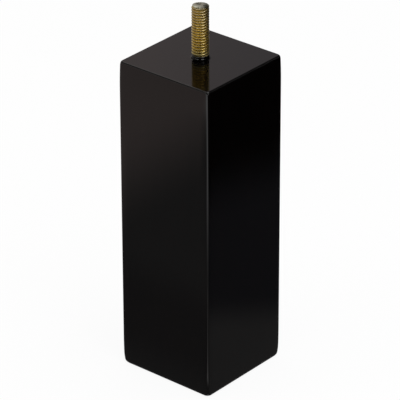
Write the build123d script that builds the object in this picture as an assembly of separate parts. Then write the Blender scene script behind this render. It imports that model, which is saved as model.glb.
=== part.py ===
from build123d import *
import math
import os

# Square wooden furniture leg with a hanger bolt in its top.
# The leg stands on z = 0 with its axis on Z. The block is solid wood with every edge eased.
# The bolt's coarse screw end is driven into the top of the block, and its machine end
# stands proud of the wood to take the furniture. All lengths are in millimetres.

# Block of wood
BLOCK_WIDTH = 50.0
BLOCK_HEIGHT = 150.0
LONG_EDGE_RADIUS = 1.0
FOOT_EDGE_RADIUS = 2.0
TOP_EDGE_RADIUS = 0.6

# Countersink round the bolt, so that no raised fibres hold the leg off its seat
RIM_CLEARANCE = 0.5
RIM_ANGLE = 45.0

# Machine end of the bolt, drawn at its major diameter
STUD_DIAMETER = 8.0
STUD_LENGTH = 25.0
STUD_TIP_DIAMETER = 6.6
STUD_TIP_ANGLE = 45.0

# Plain shank between the two threads
SHANK_DIAMETER = 7.2
SHANK_LENGTH = 5.0

# Coarse screw end, held in the wood
SCREW_DIAMETER = 8.0
SCREW_CORE_DIAMETER = 5.6
SCREW_LENGTH = 20.0
SCREW_PITCH = 3.6
SCREW_FLANK_ANGLE = 30.0
SCREW_CREST_WIDTH = 0.25
SCREW_SHOULDER_ANGLE = 45.0
SCREW_POINT_LENGTH = 6.0

# Where the seam of a turned solid lies, clear of the thread's start
SEAM_ANGLE = 40.0

# Radii and levels that follow from the sizes above
STUD_RADIUS = STUD_DIAMETER / 2
STUD_TIP_RADIUS = STUD_TIP_DIAMETER / 2
SHANK_RADIUS = SHANK_DIAMETER / 2
SCREW_RADIUS = SCREW_DIAMETER / 2
SCREW_CORE_RADIUS = SCREW_CORE_DIAMETER / 2
STUD_END_Z = BLOCK_HEIGHT + STUD_LENGTH
SHANK_END_Z = BLOCK_HEIGHT - SHANK_LENGTH
SCREW_POINT_Z = SHANK_END_Z - SCREW_LENGTH


def turned(*profile):
    """The solid turned on Z from a half profile of (radius, height) points."""
    face = make_face(Plane.XZ * Polyline(*profile, close=True))
    return Rot(0, 0, SEAM_ANGLE) * revolve(face, Axis.Z)


def eased_block():
    """The block: its plan with rounded corners, cut to the eased side profile both ways."""
    side = Rectangle(BLOCK_WIDTH, BLOCK_HEIGHT, align=(Align.CENTER, Align.MIN))
    side = fillet(side.vertices().group_by(Axis.Y)[0], FOOT_EDGE_RADIUS)
    side = fillet(side.vertices().group_by(Axis.Y)[-1], TOP_EDGE_RADIUS)
    slab = extrude(Plane.XZ * side, amount=BLOCK_WIDTH, both=True)
    plan = RectangleRounded(BLOCK_WIDTH, BLOCK_WIDTH, LONG_EDGE_RADIUS)
    return extrude(plan, amount=BLOCK_HEIGHT) & slab & Rot(0, 0, 90) * slab


def thread_groove():
    """The groove that leaves the coarse thread standing, swept up the core from the point."""
    slope = math.tan(math.radians(SCREW_FLANK_ANGLE))
    depth = SCREW_RADIUS - SCREW_CORE_RADIUS
    crest_half = (SCREW_PITCH - SCREW_CREST_WIDTH) / 2
    root_half = crest_half - depth * slope
    mouth_half = crest_half + SCREW_CREST_WIDTH / 4
    mouth_depth = depth + SCREW_CREST_WIDTH / 4 / slope
    section_plane = Plane(
        origin=(SCREW_CORE_RADIUS, 0, SCREW_POINT_Z),
        x_dir=(1, 0, 0),
        z_dir=(0, -1, 0),
    )
    outline = Polyline(
        (0, -root_half),
        (mouth_depth, -mouth_half),
        (mouth_depth, mouth_half),
        (0, root_half),
        close=True,
    )
    path = Helix(
        pitch=SCREW_PITCH,
        height=SCREW_LENGTH - SCREW_PITCH / 2,
        radius=SCREW_CORE_RADIUS,
        center=(0, 0, SCREW_POINT_Z),
    )
    return sweep(make_face(section_plane * outline), path=path, is_frenet=True)


def coarse_screw():
    """The screw end: a pointed blank with a bevelled shoulder, and the groove cut in it."""
    shoulder = (SCREW_RADIUS - SHANK_RADIUS) / math.tan(math.radians(SCREW_SHOULDER_ANGLE))
    blank = turned(
        (0, SHANK_END_Z),
        (SHANK_RADIUS, SHANK_END_Z),
        (SCREW_RADIUS, SHANK_END_Z - shoulder),
        (SCREW_RADIUS, SCREW_POINT_Z + SCREW_POINT_LENGTH),
        (0, SCREW_POINT_Z),
    )
    return blank - thread_groove()


def hanger_bolt():
    """The bolt: machine end with a chamfered tip, plain shank and coarse screw end."""
    chamfer_height = (STUD_RADIUS - STUD_TIP_RADIUS) / math.tan(math.radians(STUD_TIP_ANGLE))
    upper = turned(
        (0, SHANK_END_Z),
        (SHANK_RADIUS, SHANK_END_Z),
        (SHANK_RADIUS, BLOCK_HEIGHT),
        (STUD_RADIUS, BLOCK_HEIGHT),
        (STUD_RADIUS, STUD_END_Z - chamfer_height),
        (STUD_TIP_RADIUS, STUD_END_Z),
        (0, STUD_END_Z),
    )
    return upper + coarse_screw()


def bored_block(bolt):
    """The block as the driven bolt leaves it: a threaded seat with a countersunk rim."""
    rim_radius = STUD_RADIUS + RIM_CLEARANCE
    rim_depth = (rim_radius - SHANK_RADIUS) / math.tan(math.radians(RIM_ANGLE))
    rim = turned(
        (0, BLOCK_HEIGHT - rim_depth),
        (SHANK_RADIUS, BLOCK_HEIGHT - rim_depth),
        (rim_radius, BLOCK_HEIGHT),
        (0, BLOCK_HEIGHT),
    )
    return eased_block() - rim - bolt


bolt = hanger_bolt()
block = bored_block(bolt)

os.makedirs("parts", exist_ok=True)
export_step(block, "parts/leg_block.step")
export_step(bolt, "parts/hanger_bolt.step")
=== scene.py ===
import logging
import math
from collections.abc import Callable, Iterable
from dataclasses import dataclass, field
from enum import Enum

import bmesh
import bpy
from mathutils import Matrix, Vector


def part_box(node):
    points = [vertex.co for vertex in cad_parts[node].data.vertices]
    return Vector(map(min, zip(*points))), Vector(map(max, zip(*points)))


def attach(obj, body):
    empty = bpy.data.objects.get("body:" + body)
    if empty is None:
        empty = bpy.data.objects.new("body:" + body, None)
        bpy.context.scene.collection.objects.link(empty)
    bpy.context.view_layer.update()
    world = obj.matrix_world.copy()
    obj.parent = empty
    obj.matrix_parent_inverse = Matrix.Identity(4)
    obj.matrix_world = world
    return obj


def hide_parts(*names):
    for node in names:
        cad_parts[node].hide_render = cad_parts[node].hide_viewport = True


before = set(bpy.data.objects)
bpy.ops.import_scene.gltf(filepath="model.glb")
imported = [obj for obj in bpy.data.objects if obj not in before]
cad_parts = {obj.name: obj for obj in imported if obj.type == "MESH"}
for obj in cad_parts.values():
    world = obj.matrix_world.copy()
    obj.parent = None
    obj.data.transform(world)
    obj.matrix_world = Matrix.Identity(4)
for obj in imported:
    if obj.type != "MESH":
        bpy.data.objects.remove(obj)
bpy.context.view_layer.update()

log = logging.getLogger("furniture_leg")

MM = 0.001
TURN = 2 * math.pi
ROUND_POINTS = 96
BODY = "root"

Colour = tuple[float, float, float]
Place = tuple[float, float, float]
Range = tuple[float, float]
EVEN = (1.0, 1.0, 1.0)
WHITE = (1.0, 1.0, 1.0)


class Part(Enum):
    """The CAD nodes that pieces of this scene stand for."""

    BLOCK = "leg_block"
    BOLT = "hanger_bolt"


def in_mm(length: float) -> float:
    """Returns a length of the frame in millimetres, to the micron."""
    return round(length / MM, 3)


BLOCK_HALF = in_mm(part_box(Part.BLOCK.value)[1].x)
WOOD_TOP = in_mm(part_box(Part.BLOCK.value)[1].z)
SCREW_POINT = in_mm(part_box(Part.BOLT.value)[0].z)
STUD_END = in_mm(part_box(Part.BOLT.value)[1].z)
SHANK_LENGTH = 5.0
END_CLEARANCE = 0.001


class Value:
    """A number socket that Python operators act on, so that shader maths reads as an expression."""

    def __init__(self, shader: "Shader", socket: bpy.types.NodeSocket) -> None:
        """Wraps a socket of one shader."""
        self.shader = shader
        self.socket = socket

    def _math(self, operation: str, *operands: "Value | float", clamp: bool = False) -> "Value":
        """Adds one Math node.

        Args:
            operation: the node's operation.
            operands: values or numbers, in the order of the node's sockets.
            clamp: keeps the result between 0 and 1.

        Returns:
            The node's result.
        """
        settings = {"operation": operation, "use_clamp": clamp}
        made = self.shader.node("ShaderNodeMath", settings, dict(enumerate(operands)))
        return Value(self.shader, made.outputs[0])

    def __add__(self, other: "Value | float") -> "Value":
        """Returns self + other."""
        return self._math("ADD", self, other)

    def __radd__(self, other: float) -> "Value":
        """Returns other + self."""
        return self._math("ADD", other, self)

    def __sub__(self, other: "Value | float") -> "Value":
        """Returns self - other."""
        return self._math("SUBTRACT", self, other)

    def __rsub__(self, other: float) -> "Value":
        """Returns other - self."""
        return self._math("SUBTRACT", other, self)

    def __mul__(self, other: "Value | float") -> "Value":
        """Returns self * other."""
        return self._math("MULTIPLY", self, other)

    def __rmul__(self, other: float) -> "Value":
        """Returns other * self."""
        return self._math("MULTIPLY", other, self)

    def __truediv__(self, other: "Value | float") -> "Value":
        """Returns self / other."""
        return self._math("DIVIDE", self, other)

    def __pow__(self, other: "Value | float") -> "Value":
        """Returns self ** other."""
        return self._math("POWER", self, other)

    def __abs__(self) -> "Value":
        """Returns abs(self)."""
        return self._math("ABSOLUTE", self)

    def or_more(self, other: "Value | float") -> "Value":
        """Returns the larger of self and other."""
        return self._math("MAXIMUM", self, other)

    def or_less(self, other: "Value | float") -> "Value":
        """Returns the smaller of self and other."""
        return self._math("MINIMUM", self, other)

    def clamped(self) -> "Value":
        """Returns self held between 0 and 1."""
        return self._math("ADD", self, 0.0, clamp=True)

    def rise(self, low: float, high: float) -> "Value":
        """Returns a smooth step from 0 at low to 1 at high; low may be the larger."""
        share = ((self - low) / (high - low)).clamped()
        return share * share * (3 - 2 * share)


class Shader:
    """The node tree of one material or of the world."""

    def __init__(self, tree: bpy.types.NodeTree) -> None:
        """Clears the tree, so that each node in it is one that this script adds."""
        self.tree = tree
        tree.nodes.clear()

    def node(
        self,
        kind: str,
        settings: dict[str, object] | None = None,
        sockets: dict[str | int, object] | None = None,
    ) -> bpy.types.Node:
        """Adds a node.

        Args:
            kind: the node's type.
            settings: what is set before its sockets; stops holds a ramp's (place, colour) pairs.
            sockets: numbers, colours, vectors or links, by socket name or index.

        Returns:
            The node.
        """
        made = self.tree.nodes.new(kind)
        for name, setting in (settings or {}).items():
            if name == "stops":
                self._set_stops(made.color_ramp, setting)
            else:
                setattr(made, name, setting)
        for key, given in (sockets or {}).items():
            source = given.socket if isinstance(given, Value) else given
            if isinstance(source, bpy.types.NodeSocket):
                self.tree.links.new(source, made.inputs[key])
            else:
                made.inputs[key].default_value = source
        return made

    @staticmethod
    def _set_stops(ramp: bpy.types.ColorRamp, stops: Iterable[tuple[float, Colour]]) -> None:
        """Sets a colour ramp's stops.

        Args:
            ramp: the colour ramp.
            stops: (place, colour) pairs, from left to right.
        """
        stops = list(stops)
        while len(ramp.elements) < len(stops):
            ramp.elements.new(1.0)
        for element, (place, colour) in zip(ramp.elements, stops):
            element.position = place
            element.color = (*colour, 1.0)

    @staticmethod
    def _opaque(colour: object) -> object:
        """Returns a colour with an alpha of 1; a link stays as it is."""
        return (*colour, 1.0) if isinstance(colour, tuple) else colour

    def value(self, made: bpy.types.Node, name: str | int = 0) -> Value:
        """Returns a node's number output as a Value."""
        return Value(self, made.outputs[name])

    def mixed(self, share: Value | float, first: object, second: object) -> bpy.types.NodeSocket:
        """Mixes two colours.

        Args:
            share: how much of the second colour, from 0 to 1.
            first: a colour or a link.
            second: a colour or a link.

        Returns:
            The mixed colour's socket.
        """
        sockets = {0: share, 6: self._opaque(first), 7: self._opaque(second)}
        return self.node("ShaderNodeMix", {"data_type": "RGBA"}, sockets).outputs[2]

    def place(self, stretch: Place = EVEN) -> bpy.types.NodeSocket:
        """Gives the shaded point in the object's own frame.

        Args:
            stretch: what its x, y and z are multiplied by.

        Returns:
            The point's socket.
        """
        point = self.node("ShaderNodeTexCoord").outputs["Object"]
        made = self.node("ShaderNodeVectorMath", {"operation": "MULTIPLY"}, {0: point, 1: stretch})
        return made.outputs[0]

    def noise(
        self, size: float, stretch: Place = EVEN, detail: float = 2.0, rough: float = 0.5
    ) -> Value:
        """Adds smooth noise.

        Args:
            size: the width of its spots in metres.
            stretch: how much finer it is along each axis.
            detail: how many finer layers it has.
            rough: how strong the finer layers are.

        Returns:
            The noise, around 0.5.
        """
        sockets = {
            "Vector": self.place(stretch),
            "Scale": 1 / size,
            "Detail": detail,
            "Roughness": rough,
        }
        return self.value(self.node("ShaderNodeTexNoise", {}, sockets), "Fac")

    def axes(self) -> tuple[Value, Value, Value]:
        """Returns the point's x, y and z in the object's own frame, in metres."""
        parts = self.node("ShaderNodeSeparateXYZ", {}, {0: self.place()})
        return self.value(parts, 0), self.value(parts, 1), self.value(parts, 2)

    def bump(self, height: Value) -> bpy.types.NodeSocket:
        """Returns the normal of a relief whose height is in metres."""
        sockets = {"Strength": 1.0, "Distance": 1.0, "Height": height}
        return self.node("ShaderNodeBump", {}, sockets).outputs[0]

    def principled(self, sockets: dict[str | int, object]) -> bpy.types.Node:
        """Returns the main surface shader with its sockets set."""
        return self.node("ShaderNodeBsdfPrincipled", {}, sockets)

    def glow(self, colour: Colour | bpy.types.NodeSocket) -> bpy.types.Node:
        """Returns an emission of plain strength, from a colour or a link."""
        return self.node("ShaderNodeEmission", {}, {"Color": self._opaque(colour), "Strength": 1.0})

    def blended(self, share: Value, first: bpy.types.Node, second: bpy.types.Node) -> bpy.types.Node:
        """Mixes two shaders.

        Args:
            share: how much of the second one, from 0 to 1.
            first: the first shader's node.
            second: the second shader's node.

        Returns:
            The node that mixes them.
        """
        sockets = {0: share, 1: first.outputs[0], 2: second.outputs[0]}
        return self.node("ShaderNodeMixShader", {}, sockets)

    def output(self, surface: bpy.types.Node, kind: str = "ShaderNodeOutputMaterial") -> None:
        """Makes a node's result the surface of the material, or of the world."""
        self.node(kind, {}, {"Surface": surface.outputs[0]})


def new_material(name: str) -> tuple[bpy.types.Material, Shader]:
    """Makes an empty material with nodes.

    Args:
        name: the material's name.

    Returns:
        The material and its shader.
    """
    material = bpy.data.materials.new(name)
    material.use_nodes = True
    return material, Shader(material.node_tree)


@dataclass(frozen=True)
class LacquerFinish:
    """Espresso lacquer, sprayed and rubbed smooth over close-grained wood, in metres."""

    name: str = "espresso_lacquer"
    dark: Colour = (0.0007, 0.0005, 0.0005)
    warm: Colour = (0.0014, 0.0009, 0.0008)
    specular: float = 0.5
    roughness: float = 0.06
    rub_size: float = 0.035
    rub_stretch: Place = (1.0, 1.0, 0.45)
    rub_detail: float = 3.0
    rub_range: Range = (0.3, 0.75)
    rub_change: float = 0.04
    grain_size: float = 0.0016
    grain_stretch: Place = (1.0, 1.0, 0.05)
    grain_detail: float = 4.0
    grain_rough: float = 0.6
    grain_range: Range = (0.35, 0.8)
    grain_depth: float = 0.0000015
    peel_size: float = 0.0024
    peel_detail: float = 1.0
    peel_depth: float = 0.000004
    dust_size: float = 0.011
    dust_radius: float = 0.03
    dust_depth: float = 0.00003
    dust_dulling: float = 0.3

    def material(self) -> bpy.types.Material:
        """Makes the finish's shader.

        Returns:
            The material.
        """
        material, shader = new_material(self.name)
        grain = shader.noise(self.grain_size, self.grain_stretch, self.grain_detail, self.grain_rough)
        rub = shader.noise(self.rub_size, self.rub_stretch, self.rub_detail)
        peel = shader.noise(self.peel_size, detail=self.peel_detail)
        scattered = {"Vector": shader.place(), "Scale": 1 / self.dust_size}
        cells = shader.node("ShaderNodeTexVoronoi", {}, scattered)
        dust = shader.value(cells, "Distance").rise(self.dust_radius, 0.0)
        height = grain * self.grain_depth + peel * self.peel_depth + dust * self.dust_depth
        rubbed = self.roughness + rub.rise(*self.rub_range) * self.rub_change
        surface = shader.principled(
            {
                "Base Color": shader.mixed(grain.rise(*self.grain_range), self.dark, self.warm),
                "Roughness": rubbed + dust * self.dust_dulling,
                "Specular IOR Level": self.specular,
                "Normal": shader.bump(height),
            }
        )
        shader.output(surface)
        return material


@dataclass(frozen=True)
class ZincFinish:
    """Yellow zinc plating on rolled threads, with painted shade in the grooves and on the crests, and the
    wood's lacquer over its foot, in metres.
    """

    name: str = "yellow_zinc"
    gold: Colour = (0.68, 0.51, 0.165)
    rose: Colour = (0.66, 0.46, 0.19)
    # groove and low_groove_shade: painted shade of the thread's hollows, darker and more saturated than the
    # crests, partly also the less-worn plating there; lighter low on the stud
    groove: Colour = (0.56, 0.41, 0.09)
    low_groove_shade: Colour = (0.76, 0.56, 0.09)
    # crest_shade: painted shade, a near-black band on the outermost part of each thread crest, where it
    # faces out level
    crest_shade: Colour = (0.17, 0.12, 0.045)
    pale: Colour = (0.70, 0.56, 0.30)
    hazed: Colour = (0.52, 0.46, 0.23)
    bare: Colour = (0.58, 0.60, 0.48)
    dull: Colour = (0.15, 0.155, 0.11)
    lacquer: Colour = (0.0008, 0.0007, 0.0006)
    # the distances from the axis over which the grooves' painted shade comes in
    crest_reach: float = 0.0036
    root_reach: float = 0.00325
    # the distances from the axis where the crests' painted shade starts and is full
    crest_shade_start: float = 0.003775
    crest_shade_full: float = 0.003815
    pale_start: float = 0.159
    pale_end: float = 0.1735
    haze_top: float = 0.1555
    haze_full: float = 0.1525
    haze_share: float = 0.6
    haze_roughness: float = 0.1
    end_start: float = 0.17445
    end_full: float = 0.1747
    roughness: float = 0.27
    specular: float = 0.5
    tone_size: float = 0.004
    tone_range: Range = (0.4, 0.65)
    tone_share: float = 0.5
    wear_size: float = 0.0022
    wear_range: Range = (0.46, 0.6)
    scuff_size: float = 0.0005
    scuff_stretch: Place = (1.0, 1.0, 2.5)
    scuff_range: Range = (0.3, 0.8)
    scuff_roughness: float = 0.08
    scuff_depth: float = 0.0000008
    coat_top: float = 0.1521
    coat_fade: float = 0.0001
    coat_ragged: float = 0.0003
    coat_size: float = 0.0016
    coat_detail: float = 3.0
    coat_roughness: float = 0.08

    def material(self) -> bpy.types.Material:
        """Makes the finish's shader.

        Returns:
            The material.
        """
        material, shader = new_material(self.name)
        across, along, height = shader.axes()
        reach = (across * across + along * along) ** 0.5
        tone = shader.noise(self.tone_size)
        scuff = shader.noise(self.scuff_size, self.scuff_stretch)
        ragged = shader.noise(self.coat_size, detail=self.coat_detail) - 0.5
        coat_line = height + ragged * self.coat_ragged
        coated = coat_line.rise(self.coat_top, self.coat_top - self.coat_fade)
        plated = shader.mixed(tone.rise(*self.tone_range) * self.tone_share, self.gold, self.rose)
        climb = height.rise(self.pale_start, self.pale_end)
        plated = shader.mixed(climb, plated, self.pale)
        # painted shade in the grooves, laid on by the distance from the axis
        groove_shade = shader.mixed(climb, self.low_groove_shade, self.groove)
        plated = shader.mixed(reach.rise(self.crest_reach, self.root_reach), plated, groove_shade)
        # painted shade on the crests' outermost, level-facing band
        plated = shader.mixed(reach.rise(self.crest_shade_start, self.crest_shade_full), plated, self.crest_shade)
        haze = height.rise(self.haze_top, self.haze_full)
        plated = shader.mixed(haze * self.haze_share, plated, self.hazed)
        wear = shader.noise(self.wear_size).rise(*self.wear_range)
        worn = shader.mixed(wear, self.bare, self.dull)
        plated = shader.mixed(height.rise(self.end_start, self.end_full), plated, worn)
        relief = scuff * self.scuff_depth * (1 - coated)
        scuffed = self.roughness + scuff.rise(*self.scuff_range) * self.scuff_roughness
        bare_roughness = scuffed + haze * self.haze_roughness
        surface = shader.principled(
            {
                "Base Color": shader.mixed(coated, plated, self.lacquer),
                "Metallic": 1 - coated,
                "Roughness": bare_roughness * (1 - coated) + coated * self.coat_roughness,
                "Specular IOR Level": self.specular,
                "Normal": shader.bump(relief),
            }
        )
        shader.output(surface)
        return material


@dataclass(frozen=True)
class FloorFinish:
    """A pale studio floor that the camera sees as white, with the shadows kept."""

    name: str = "studio_floor"
    colour: Colour = (0.92, 0.92, 0.92)
    white_share: float = 0.92

    def material(self) -> bpy.types.Material:
        """Makes the finish's shader.

        Returns:
            The material.
        """
        material, shader = new_material(self.name)
        matt = shader.node("ShaderNodeBsdfDiffuse", {}, {"Color": (*self.colour, 1.0)})
        white = shader.glow(WHITE)
        shader.output(shader.blended(seen_directly(shader) * self.white_share, matt, white))
        return material


@dataclass(frozen=True)
class CardFinish:
    """The face of a studio card: an even glow that fades out at the card's rim, in metres."""

    name: str
    colour: Colour
    half_width: float
    half_height: float
    feather: float

    def material(self) -> bpy.types.Material:
        """Makes the finish's shader.

        Returns:
            The material.
        """
        material, shader = new_material(self.name)
        across, along, _ = shader.axes()
        rim = (self.half_width - abs(across)).or_less(self.half_height - abs(along))
        glow = shader.glow(self.colour)
        clear = shader.node("ShaderNodeBsdfTransparent")
        shader.output(shader.blended(rim.rise(0.0, self.feather), clear, glow))
        return material


def seen_directly(shader: Shader) -> Value:
    """Tells the rays that see things from the rays that light them.

    Args:
        shader: the shader that asks.

    Returns:
        1 for rays from the camera, a mirror or glass, and 0 for the others.
    """
    rays = shader.node("ShaderNodeLightPath")
    seen = shader.value(rays, "Is Camera Ray").or_more(shader.value(rays, "Is Glossy Ray"))
    return seen.or_more(shader.value(rays, "Is Transmission Ray"))


def made_object(name: str, grid: bmesh.types.BMesh) -> bpy.types.Object:
    """Turns a mesh in the making into an object of the scene.

    Args:
        name: the object's name, and its mesh's.
        grid: the mesh, which is freed.

    Returns:
        The object.
    """
    data = bpy.data.meshes.new(name)
    grid.to_mesh(data)
    grid.free()
    made = bpy.data.objects.new(name, data)
    bpy.context.scene.collection.objects.link(made)
    return made


def join_rings(grid: bmesh.types.BMesh, rings: list[list[bmesh.types.BMVert]]) -> None:
    """Fills the faces between closed rings of vertices.

    Args:
        grid: the mesh that they are in.
        rings: the rings, each of which is joined to the next; a ring of one vertex is a pole.
    """
    for lower, upper in zip(rings, rings[1:]):
        count = max(len(lower), len(upper))
        for i in range(count):
            after = (i + 1) % count
            corners = [
                lower[i % len(lower)],
                lower[after % len(lower)],
                upper[after % len(upper)],
                upper[i % len(upper)],
            ]
            grid.faces.new(list(dict.fromkeys(corners)))


class Skin:
    """A closed surface that is laid out row by row round the upright axis, in millimetres."""

    WELD = 0.0001
    SLIVER = 0.00001

    def __init__(self, name: str) -> None:
        """Starts an empty mesh with the piece's name."""
        self.name = name
        self.mesh = bmesh.new()

    def band(self, rows: list[list[Vector]]) -> None:
        """Joins closed rows, each to the next; a row of one point is a pole.

        Args:
            rows: the rows' points in millimetres, in order.
        """
        join_rings(self.mesh, self._placed(rows))

    def _placed(self, rows: list[list[Vector]]) -> list[list[bmesh.types.BMVert]]:
        """Returns the vertices of rows of points."""
        return [[self.mesh.verts.new(point * MM) for point in row] for row in rows]

    def helix(self, rows: list[list[Vector]], turn: int) -> None:
        """Joins open rows that climb as they go round, so that each one's end meets a later start.

        Args:
            rows: the rows' points in millimetres, in order; the last turn of rows may be one circle.
            turn: how many rows one turn of the helix climbs.
        """
        placed = self._placed(rows)
        last = len(placed) - 1
        for j in range(last):
            lower, upper = placed[j], placed[j + 1]
            for i in range(len(lower) - 1):
                self.mesh.faces.new((lower[i], lower[i + 1], upper[i + 1], upper[i]))
            start, after = placed[min(j + turn, last)][0], placed[min(j + 1 + turn, last)][0]
            if start is after:
                self.mesh.faces.new((lower[-1], start, upper[-1]))
            else:
                self.mesh.faces.new((lower[-1], start, after, upper[-1]))

    def finished(self) -> bpy.types.Object:
        """Welds what meets and turns the faces outwards.

        Returns:
            The piece, with smooth faces.
        """
        bmesh.ops.remove_doubles(self.mesh, verts=self.mesh.verts, dist=self.WELD * MM)
        bmesh.ops.dissolve_degenerate(self.mesh, edges=self.mesh.edges, dist=self.SLIVER * MM)
        bmesh.ops.recalc_face_normals(self.mesh, faces=self.mesh.faces)
        piece = made_object(self.name, self.mesh)
        piece.data.shade_smooth()
        return piece


def dress(piece: bpy.types.Object, finish: bpy.types.Material, part: Part) -> None:
    """Gives a piece its material and ties it to the frame.

    Args:
        piece: the piece.
        finish: its material.
        part: the CAD node that the piece stands for.
    """
    piece.data.materials.append(finish)
    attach(piece, BODY)
    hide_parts(part.value)
    log.info("%s stands for %s, %d faces", piece.name, part.value, len(piece.data.polygons))


def around(index: int, radius: float, height: float) -> Vector:
    """Returns a point on a circle of ROUND_POINTS points round the upright axis."""
    angle = TURN * index / ROUND_POINTS
    return Vector((radius * math.cos(angle), radius * math.sin(angle), height))


def climbing_rows(
    base: float, end: float, pitch: float, steps: tuple[float, ...], point: Callable[[int, float], Vector]
) -> list[list[Vector]]:
    """Lays out the open rows of a thread, turn by turn.

    Args:
        base: the height at which the first row starts.
        end: the height that the last turn passes.
        pitch: how far one turn climbs.
        steps: where the rows of a turn start, as shares of the pitch.
        point: gives a row's point from its number round the axis and the height the row starts at.

    Returns:
        The rows, each of ROUND_POINTS points.
    """
    turns = math.ceil((end - base) / pitch) + 1
    starts = [base + (turn + step) * pitch for turn in range(turns) for step in steps]
    return [[point(i, start) for i in range(ROUND_POINTS)] for start in starts]


@dataclass
class WoodScrewThread:
    """The coarse lower end of the hanger bolt and the seat that it cuts, in millimetres."""

    tip: float = SCREW_POINT
    top: float = WOOD_TOP - SHANK_LENGTH
    pitch: float = 3.6
    core: float = 2.8
    crest: float = 4.0
    crest_width: float = 0.25
    flank_angle: float = 30.0
    point_length: float = 6.0
    neck: float = 3.6
    fade_length: float = 0.8
    steps: tuple[float, ...] = (
        0.0, 0.035, 0.09, 0.16, 0.2, 0.25, 0.35, 0.5, 0.65, 0.75, 0.8, 0.84, 0.91, 0.965,
    )

    def radius(self, phase: float, height: float) -> float:
        """Gives the surface's radius.

        Args:
            phase: how far through the pitch the point is, 0 at the crest's middle.
            height: the point's height.

        Returns:
            The radius at that place.
        """
        away = min(phase, 1 - phase) * self.pitch
        slope = 1 / math.tan(math.radians(self.flank_angle))
        ridge = self.crest - max(0.0, away - self.crest_width / 2) * slope
        thread = max(self.core, ridge)
        point = (height - self.tip) * self.crest / self.point_length
        shoulder = self.neck + max(0.0, self.top - height)
        fade = min(1.0, (self.top - height) / self.fade_length)
        thread = self.neck + (thread - self.neck) * fade
        return max(0.0, min(thread, point, max(self.neck, min(self.crest, shoulder))))

    def rows(self) -> list[list[Vector]]:
        """Returns the thread's rows, from the point up to the neck."""
        return climbing_rows(self.tip - self.pitch, self.top, self.pitch, self.steps, self._point)

    def _point(self, index: int, start: float) -> Vector:
        """Gives one point of a row.

        Args:
            index: the point's number round the axis.
            start: the height at which the row starts.

        Returns:
            The point.
        """
        height = start + self.pitch * index / ROUND_POINTS
        phase = ((start - self.tip) / self.pitch) % 1.0
        held = min(max(height, self.tip), self.top)
        radius = self.radius(phase, held)
        if height >= self.top:
            radius = self.neck
        return around(index, radius, held)


@dataclass
class MachineThread:
    """The threaded stud that stands out of the wood, in millimetres and degrees."""

    foot: float = WOOD_TOP
    top: float = STUD_END - END_CLEARANCE
    pitch: float = 1.25
    flank_angle: float = 60.0
    crest: float = 3.85
    crest_radius: float = 0.36
    root_radius: float = 0.14
    neck: float = 3.6
    tip_radius: float = 3.5
    tip_height: float = 0.35
    dome: float = 0.35
    cap_span: float = 0.9
    start_phase: float = 0.57
    start_height: float = 174.1
    start_from: float = 308.0
    start_to: float = 338.0
    start_depth: float = 0.12
    coat_full: float = 151.6
    coat_top: float = 152.1
    coat_fill: float = 3.78
    bead_height: float = 150.85
    bead_reach: float = 0.24
    bead_rise: float = 0.22
    steps: tuple[float, ...] = (
        0.0, 0.05, 0.099, 0.144, 0.185, 0.221, 0.25, 0.33, 0.403, 0.421, 0.45,
        0.5, 0.55, 0.579, 0.597, 0.67, 0.75, 0.779, 0.815, 0.856, 0.901, 0.95,
    )

    def groove(self, phase: float) -> float:
        """Gives the depth under the crest.

        Args:
            phase: how far through the pitch the place is, 0 at the crest's middle.

        Returns:
            The depth at that place.
        """
        away = min(phase, 1 - phase) * self.pitch
        left = self.pitch / 2 - away
        flank = math.radians(self.flank_angle)
        lean = math.sin(flank)
        if away < self.crest_radius * lean:
            return self.crest_radius - math.sqrt(self.crest_radius**2 - away**2)
        if left < self.root_radius * lean:
            return self.depth() - self.root_radius + math.sqrt(self.root_radius**2 - left**2)
        return self.crest_radius / 2 + (away - self.crest_radius * lean) * math.tan(flank)

    def depth(self) -> float:
        """Returns the thread's depth between its round crests and round roots."""
        sharp = self.pitch * math.tan(math.radians(self.flank_angle)) / 2
        return sharp - self.crest_radius - self.root_radius

    def radius(self, phase: float, height: float, angle: float) -> float:
        """Gives the stud's radius.

        Args:
            phase: how far through the pitch the point is.
            height: the point's height.
            angle: how far round the stud the point is, in degrees.

        Returns:
            The radius, with the lacquer that fills the lowest grooves and the thread's blunt start.
        """
        depth = self.groove(phase)
        if height > self.start_height and self.start_from <= angle <= self.start_to:
            depth = min(depth, self.start_depth)
        fill = min(1.0, max(0.0, (self.coat_top - height) / (self.coat_top - self.coat_full)))
        filled = max(self.crest - depth, self.root() + (self.coat_fill - self.root()) * fill)
        near = max(0.0, 1 - abs(height - self.bead_height) / self.bead_reach)
        if near:
            return max(filled, self.coat_fill + self.bead_rise * near)
        climb = min(1.0, max(0.0, (height - self.rim() + self.tip_height) / self.tip_height))
        rounded = self.tip_radius + (self.crest - self.tip_radius) * math.sqrt(1 - climb**2)
        return min(filled, rounded)

    def root(self) -> float:
        """Returns the radius at the bottom of the grooves."""
        return self.crest - self.depth()

    def rim(self) -> float:
        """Returns the height of the rim round the slightly domed end."""
        return self.top - self.dome

    def rows(self) -> list[list[Vector]]:
        """Returns the stud's rows, from its foot to the middle of its end face."""
        end = self.rim() + self.cap_span
        return climbing_rows(self.foot - self.pitch, end, self.pitch, self.steps, self._point)

    def _point(self, index: int, start: float) -> Vector:
        """Gives one point of a row.

        Args:
            index: the point's number round the axis.
            start: the height at which the row starts.

        Returns:
            The point.
        """
        height = start + self.pitch * index / ROUND_POINTS
        phase = ((start - self.foot) / self.pitch + self.start_phase) % 1.0
        if height <= self.foot:
            return around(index, self.neck, self.foot)
        if height < self.rim():
            return around(index, self.radius(phase, height, 360.0 * index / ROUND_POINTS), height)
        inwards = max(0.0, 1 - (height - self.rim()) / self.cap_span)
        return around(index, self.tip_radius * inwards, self.top - self.dome * inwards**3)


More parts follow.
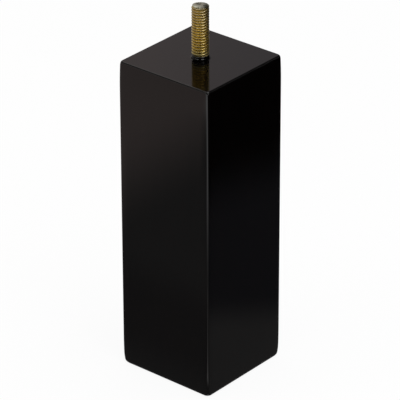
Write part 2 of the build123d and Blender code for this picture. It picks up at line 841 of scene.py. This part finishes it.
@dataclass
class HangerBolt:
    """The steel bolt: a machine-threaded stud above the wood and a wood screw below."""

    finish: ZincFinish = field(default_factory=ZincFinish)
    stud: MachineThread = field(default_factory=MachineThread)
    screw: WoodScrewThread = field(default_factory=WoodScrewThread)

    def build(self) -> bpy.types.Object:
        """Builds the bolt as one closed skin and dresses it.

        Returns:
            The bolt.
        """
        skin = Skin("hanger_bolt_threaded")
        skin.helix(self.screw.rows(), len(self.screw.steps))
        heights = (self.screw.top, (self.screw.top + self.stud.foot) / 2, self.stud.foot)
        skin.band([[around(i, self.stud.neck, z) for i in range(ROUND_POINTS)] for z in heights])
        skin.helix(self.stud.rows(), len(self.stud.steps))
        piece = skin.finished()
        dress(piece, self.finish.material(), Part.BOLT)
        return piece


@dataclass
class LegBlock:
    """The square block with its sanded edges and the bored seat for the bolt, in millimetres."""

    finish: LacquerFinish = field(default_factory=LacquerFinish)
    screw: WoodScrewThread = field(default_factory=WoodScrewThread)
    half: float = BLOCK_HALF
    height: float = WOOD_TOP
    long_edge: float = 1.0
    foot_edge: float = 2.0
    foot_corner: float = 2.4
    foot_fade: float = 6.0
    top_edge: float = 0.6
    top_corner: float = 1.9
    top_fade: float = 1.8
    roll_off: float = 0.25
    roll_length: float = 14.0
    roll_power: float = 2.2
    edge_steps: int = 8
    side_points: int = 16
    foot_shares: tuple[float, ...] = (0.3, 0.6, 0.85, 0.98)
    top_shares: tuple[float, ...] = (0.995, 0.9, 0.6, 0.4)
    end_levels: tuple[float, ...] = (0.0, 0.35, 0.75, 1.3, 2.2, 3.6, 5.2, 7.0, 9.0, 11.0, 13.0)
    end_gap: float = 0.25
    middle_gap: float = 16.0
    middle_steps: int = 12
    rim_gap: float = 0.05
    rim_depth: float = 0.9
    pool_reach: float = 4.7
    pool_rise: float = 0.12
    pool_power: float = 2.5
    pool_steps: int = 6

    def outline(self, half: float, corner: float, height: float) -> list[Vector]:
        """Lays out one level of the block.

        Args:
            half: half the width at this level.
            corner: the corner radius at this level.
            height: the level's height.

        Returns:
            ROUND_POINTS points, the first in the middle of the +X side.
        """
        straight = half - corner
        side_points = self.side_points // 2
        corner_points = ROUND_POINTS // 4 - self.side_points
        quarter = []
        for i in range(side_points):
            quarter.append((half, straight * i / side_points))
        for i in range(corner_points):
            angle = math.radians(90) * i / corner_points
            quarter.append((straight + corner * math.cos(angle), straight + corner * math.sin(angle)))
        for i in range(side_points):
            quarter.append((straight * (1 - i / side_points), half))
        made = []
        for cosine, sine in ((1, 0), (0, 1), (-1, 0), (0, -1)):
            turned = [(a * cosine - b * sine, a * sine + b * cosine) for a, b in quarter]
            made += [Vector((x, y, height)) for x, y in turned]
        return made

    def sanded(self, height: float) -> float:
        """Gives how far the faces fall back near the block's two ends.

        Args:
            height: the level's height.

        Returns:
            The distance from the plain face, inwards.
        """
        end = min(height, self.height - height)
        share = max(0.0, 1 - end / self.roll_length)
        return self.roll_off * share**self.roll_power

    def corner(self, height: float) -> float:
        """Gives the radius of the upright edges, which are sanded rounder at both ends.

        Args:
            height: the level's height.

        Returns:
            The radius at that level.
        """
        foot = max(0.0, 1 - height / self.foot_fade)
        top = max(0.0, 1 - (self.height - height) / self.top_fade)
        foot_extra = (self.foot_corner - self.long_edge) * foot**2
        top_extra = (self.top_corner - self.long_edge) * top**2
        return self.long_edge + (foot_extra + top_extra)

    def wall(self) -> list[list[Vector]]:
        """Lays out the outside.

        Returns:
            The rows, from the middle of the foot to the top round the bolt.
        """
        rows = [[Vector((0, 0, 0))]]
        inset = self.sanded(0) + self.foot_edge
        for share in self.foot_shares:
            rows.append(self.outline((self.half - inset) * share, self.foot_corner * share, 0.0))
        for i in range(self.edge_steps + 1):
            angle = math.radians(90) * i / self.edge_steps
            inset = self.foot_edge * (1 - math.sin(angle))
            level = self.foot_edge * (1 - math.cos(angle))
            rows.append(self.outline(self.half - inset - self.sanded(level), self.corner(level), level))
        for level in self.wall_levels():
            rows.append(self.outline(self.half - self.sanded(level), self.corner(level), level))
        for i in range(self.edge_steps + 1):
            angle = math.radians(90) * i / self.edge_steps
            inset = self.top_edge * (1 - math.cos(angle))
            level = self.height - self.top_edge * (1 - math.sin(angle))
            rows.append(self.outline(self.half - inset - self.sanded(level), self.corner(level), level))
        inner = self.half - self.top_edge - self.sanded(self.height)
        for share in self.top_shares:
            rows.append(self.outline(inner * share, self.top_corner * share, self.height))
        return rows

    def wall_levels(self) -> list[float]:
        """Lays out the levels of the faces, closer together near the ends.

        Returns:
            The levels' heights, upwards.
        """
        low, high = self.foot_edge + self.end_gap, self.height - self.top_edge - self.end_gap
        start, end = low + self.middle_gap, high - self.middle_gap
        middle = [start + (end - start) * i / self.middle_steps for i in range(self.middle_steps + 1)]
        foot = [low + level for level in self.end_levels]
        return foot + middle + [high - level for level in reversed(self.end_levels)]

    def pool(self) -> list[list[Vector]]:
        """Lays out the lacquer's small climb to the bolt, and the rim under it.

        Returns:
            The rows, from the top inwards and down to the screw.
        """
        rings = []
        for i in range(self.pool_steps + 1):
            share = i / self.pool_steps
            reach = self.pool_reach + (self.screw.crest - self.pool_reach) * share
            rings.append((reach, self.height + self.pool_rise * share**self.pool_power))
        rings.append((self.screw.crest - self.rim_gap, self.height))
        rings.append((self.screw.neck, self.height - self.rim_depth))
        rings.append((self.screw.neck, self.screw.top))
        return [[around(i, radius, level) for i in range(ROUND_POINTS)] for radius, level in rings]

    def build(self) -> bpy.types.Object:
        """Builds the block as one closed skin and dresses it.

        Returns:
            The block.
        """
        skin = Skin("leg_block_sanded")
        skin.band(self.wall() + self.pool())
        skin.helix(self.screw.rows(), len(self.screw.steps))
        piece = skin.finished()
        dress(piece, self.finish.material(), Part.BLOCK)
        return piece


@dataclass
class StudioCard:
    """A card beside the leg that only its gloss reflects, in metres and degrees."""

    name: str
    centre: Place
    width: float
    height: float
    feather: float
    colour: Colour
    turn: float = 0.0

    def build(self) -> bpy.types.Object:
        """Builds the card, which lies flat and is turned about the upright axis.

        Returns:
            The card.
        """
        half_w, half_h = self.width / 2, self.height / 2
        sides = ((-half_w, -half_h), (half_w, -half_h), (half_w, half_h), (-half_w, half_h))
        grid = bmesh.new()
        grid.faces.new([grid.verts.new((x, y, 0.0)) for x, y in sides])
        card = made_object(self.name, grid)
        card.location = self.centre
        card.rotation_euler.z = math.radians(self.turn)
        finish = CardFinish(self.name, self.colour, half_w, half_h, self.feather)
        card.data.materials.append(finish.material())
        show_in_gloss_only(card)
        return card


def show_in_gloss_only(stand: bpy.types.Object) -> None:
    """Makes an object a stage piece that only reflections see, and that blocks no light.

    Args:
        stand: the object.
    """
    stand.visible_camera = False
    stand.visible_diffuse = False
    stand.visible_shadow = False
    stand.visible_transmission = False


@dataclass(frozen=True)
class TentFinish:
    """The tent's cloth: bright on the left, dim on the right and dark in front, in metres."""

    name: str = "tent_cloth"
    half_span: float = 1.6
    stops: tuple[tuple[float, Colour], ...] = (
        (-1.6, (0.34, 0.32, 0.31)),
        (-0.5, (0.44, 0.41, 0.395)),
        (-0.1, (0.42, 0.36, 0.35)),
        (0.1, (0.288, 0.27, 0.283)),
        (0.3, (0.14, 0.13, 0.13)),
        (0.6, (0.05, 0.047, 0.047)),
        (1.5, (0.02, 0.02, 0.02)),
    )
    front: Colour = (0.05, 0.047, 0.047)
    front_start: float = -0.5
    front_full: float = 0.7
    facing: float = 40.147

    def material(self) -> bpy.types.Material:
        """Makes the finish's shader.

        Returns:
            The material.
        """
        material, shader = new_material(self.name)
        x, y, _ = shader.axes()
        cosine, sine = math.cos(math.radians(self.facing)), math.sin(math.radians(self.facing))
        across = x * cosine + y * sine
        towards = x * sine - y * cosine
        span = 2 * self.half_span
        stops = [((place + self.half_span) / span, colour) for place, colour in self.stops]
        place = (across + self.half_span) / span
        cloth = shader.node("ShaderNodeValToRGB", {"stops": stops}, {0: place})
        front = towards.rise(self.front_start, self.front_full)
        shader.output(shader.glow(shader.mixed(front, cloth.outputs[0], self.front)))
        return material


@dataclass
class LightTent:
    """The tent of grey cloth round the table, in metres, which only gloss and metal reflect."""

    finish: TentFinish = field(default_factory=TentFinish)
    radius: float = 1.6
    hem_height: float = 0.12
    rings: int = 12
    sides: int = 48

    def build(self) -> bpy.types.Object:
        """Builds the tent as a dome that stands clear of the floor.

        Returns:
            The tent.
        """
        grid = bmesh.new()
        rings = []
        for j in range(self.rings + 1):
            angle = math.radians(90) * j / self.rings
            reach = self.radius * math.cos(angle)
            level = self.hem_height + self.radius * math.sin(angle)
            count = 1 if j == self.rings else self.sides
            turns = [TURN * i / self.sides for i in range(count)]
            points = [(reach * math.cos(turn), reach * math.sin(turn), level) for turn in turns]
            rings.append([grid.verts.new(point) for point in points])
        join_rings(grid, rings)
        tent = made_object("light_tent", grid)
        tent.data.shade_smooth()
        tent.data.materials.append(self.finish.material())
        show_in_gloss_only(tent)
        return tent


@dataclass
class Softbox:
    """A square area lamp aimed at the leg, in metres and degrees."""

    name: str
    azimuth: float
    elevation: float
    distance: float
    size: float
    glow: float
    colour: Colour = (1.0, 1.0, 1.0)
    aim: Place = (0.0, 0.0, 0.16)

    def build(self) -> bpy.types.Object:
        """Builds the lamp, placed by the direction it shines from.

        Returns:
            The lamp.
        """
        lamp = bpy.data.lights.new(self.name, "AREA")
        lamp.shape = "SQUARE"
        lamp.size = self.size
        lamp.energy = self.glow * math.pi * self.size**2
        lamp.color = self.colour
        holder = bpy.data.objects.new(self.name, lamp)
        bpy.context.scene.collection.objects.link(holder)
        back = direction(self.azimuth, self.elevation)
        holder.location = Vector(self.aim) + back * self.distance
        holder.rotation_mode = "QUATERNION"
        holder.rotation_quaternion = (-back).to_track_quat("-Z", "Y")
        return holder


def direction(azimuth: float, elevation: float) -> Vector:
    """Returns the unit vector towards an azimuth and elevation; azimuth 0 is -Y and 90 is +X."""
    a, e = math.radians(azimuth), math.radians(elevation)
    return Vector((math.sin(a) * math.cos(e), -math.cos(a) * math.cos(e), math.sin(e)))


@dataclass
class Studio:
    """The floor, the tent, the lamps, the cards and the white surroundings, in metres."""

    floor_half: float = 3.0
    floor_cells: int = 8
    floor_drop: float = 0.00002
    ambient: float = 0.7
    floor: FloorFinish = field(default_factory=FloorFinish)
    tent: LightTent = field(default_factory=LightTent)
    lamps: tuple[Softbox, ...] = (
        Softbox("left_softbox", -30.0, 50.0, 1.2, 0.46, 1.1),
        Softbox("front_softbox", -5.0, 54.0, 1.3, 0.24, 3.2),
        Softbox("top_softbox", 40.0, 78.0, 1.2, 0.45, 1.2),
        Softbox("right_softbox", 78.0, 50.0, 1.2, 0.55, 3.0),
        Softbox("boom_softbox", 120.0, 72.0, 1.2, 0.45, 2.6),
        Softbox("back_softbox", -126.0, 41.0, 1.2, 0.3, 0.85),
    )
    cards: tuple[StudioCard, ...] = (
        StudioCard("table_mat", (0.0, 0.0, 0.0001), 0.7, 0.7, 0.12, (0.12, 0.118, 0.118)),
        StudioCard("front_shade", (-0.02, -0.065, 0.00015), 0.22, 0.1, 0.04, (0.088, 0.084, 0.086)),
        StudioCard("left_bounce", (-0.405, -0.25, 0.0003), 0.6, 0.9, 0.08, (0.39, 0.325, 0.31)),
        StudioCard(
            "right_table", (0.2595, 0.2595, 0.0002), 0.62, 1.2, 0.035, (0.045, 0.046, 0.053), turn=45.0
        ),
        StudioCard("right_flag", (0.497, 0.268, 0.0004), 0.8, 1.6, 0.067, (0.0, 0.0, 0.0), turn=15.0),
        StudioCard("foot_glint", (0.058, -0.0688, 0.0006), 0.1, 0.03, 0.014, (0.9, 0.88, 0.88), turn=-49.8),
        StudioCard("front_glint", (0.2552, -0.302, 0.0005), 0.6, 0.4, 0.26, (1.5, 1.5, 1.53), turn=-49.8),
    )

    def build(self) -> None:
        """Builds everything round the leg."""
        self.build_floor()
        self.build_world()
        self.tent.build()
        for lamp in self.lamps:
            lamp.build()
        for card in self.cards:
            card.build()
        log.info("studio with %d lamps and %d cards", len(self.lamps), len(self.cards))

    def build_floor(self) -> bpy.types.Object:
        """Builds the floor, a hair under the leg's foot.

        Returns:
            The floor.
        """
        grid = bmesh.new()
        cells = self.floor_cells
        bmesh.ops.create_grid(grid, x_segments=cells, y_segments=cells, size=self.floor_half)
        floor = made_object("floor", grid)
        floor.location.z = -self.floor_drop
        floor.data.materials.append(self.floor.material())
        return floor

    def build_world(self) -> None:
        """Sets plain white surroundings: full white where seen, and softer as light."""
        world = bpy.data.worlds.new("studio_world")
        world.use_nodes = True
        bpy.context.scene.world = world
        shader = Shader(world.node_tree)
        white = (*WHITE, 1.0)
        light = shader.node("ShaderNodeBackground", {}, {"Color": white, "Strength": self.ambient})
        shown = shader.node("ShaderNodeBackground", {}, {"Color": white, "Strength": 1.0})
        mixed = shader.blended(seen_directly(shader), light, shown)
        shader.output(mixed, "ShaderNodeOutputWorld")


@dataclass
class PhotoCamera:
    """The camera at the photograph's angle, in millimetres, degrees and pixels of a 400 wide frame."""

    azimuth: float = 40.196
    elevation: float = 27.652
    roll: float = -0.186
    across: float = -0.628
    up: float = 71.744
    away: float = 1445.145
    focal: float = 3200.0
    frame_width: float = 400.0
    sensor: float = 36.0
    nearest: float = 50.0
    farthest: float = 20000.0

    def build(self) -> bpy.types.Object:
        """Builds the camera and makes it the scene's own.

        Returns:
            The camera.
        """
        back = direction(self.azimuth, self.elevation)
        facing = math.radians(self.azimuth)
        level = Vector((math.cos(facing), math.sin(facing), 0.0))
        rise = back.cross(level)
        tilt = math.radians(self.roll)
        right = level * math.cos(tilt) + rise * math.sin(tilt)
        above = rise * math.cos(tilt) - level * math.sin(tilt)
        place = (right * self.across + above * self.up + back * self.away) * MM
        lens = bpy.data.cameras.new("photo_camera")
        lens.sensor_width = self.sensor
        lens.lens = self.focal * self.sensor / self.frame_width
        lens.clip_start = self.nearest * MM
        lens.clip_end = self.farthest * MM
        camera = bpy.data.objects.new("photo_camera", lens)
        bpy.context.scene.collection.objects.link(camera)
        turned = Matrix((right, above, back)).transposed()
        camera.matrix_world = Matrix.Translation(place) @ turned.to_4x4()
        bpy.context.scene.camera = camera
        log.info("camera at azimuth %.1f, elevation %.1f", self.azimuth, self.elevation)
        return camera


def main() -> None:
    """Builds the leg and its studio."""
    logging.basicConfig(level=logging.INFO, format="%(name)s: %(message)s")
    bpy.context.scene.view_settings.view_transform = "Standard"
    PhotoCamera().build()
    LegBlock().build()
    HangerBolt().build()
    Studio().build()


if __name__ == "__main__":
    main()
